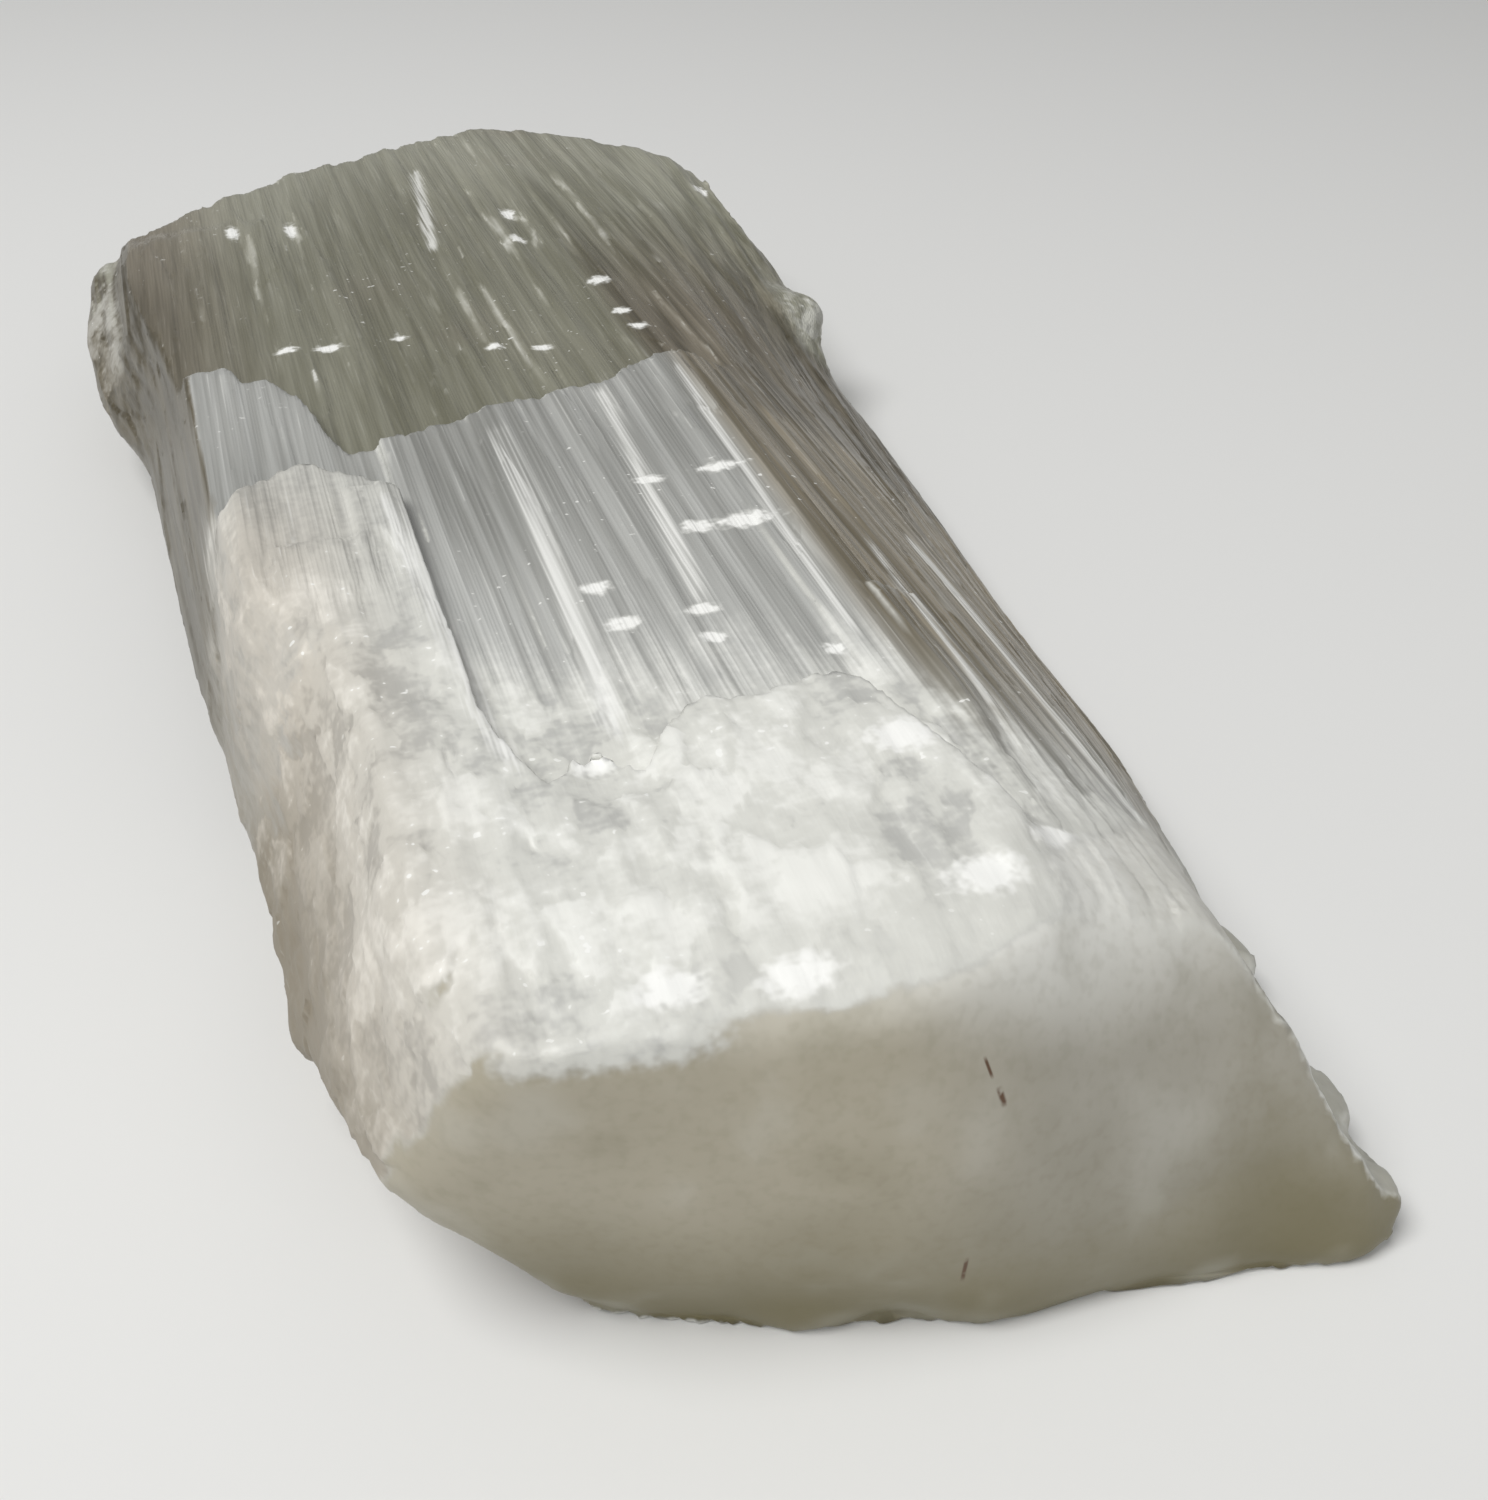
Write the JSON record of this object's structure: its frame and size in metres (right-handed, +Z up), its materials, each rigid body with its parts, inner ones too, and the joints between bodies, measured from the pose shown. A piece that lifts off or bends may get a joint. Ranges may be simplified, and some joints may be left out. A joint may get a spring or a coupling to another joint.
{
  "type": "selenite crystal",
  "caption": "Rough selenite crystal log: a flat-bottomed bundle of satin gypsum fibres with stepped cleavage layers on top, one worn blunt end and one broken end.",
  "frame": {"origin": "middle of the bounding box's footprint, on the flat resting face", "axes": "+Y along the fibres from the worn end to the broken end, +X to the right seen from the worn end, +Z up from the resting face"},
  "size_m": [0.0884, 0.2004, 0.0282],
  "materials": {
    "selenite": "translucent gypsum, satin along the fibres, chalky white where it is bruised, olive grey where it is clear"
  },
  "bodies": {
    "root": {"crystal": "selenite"}
  },
  "joints": []
}
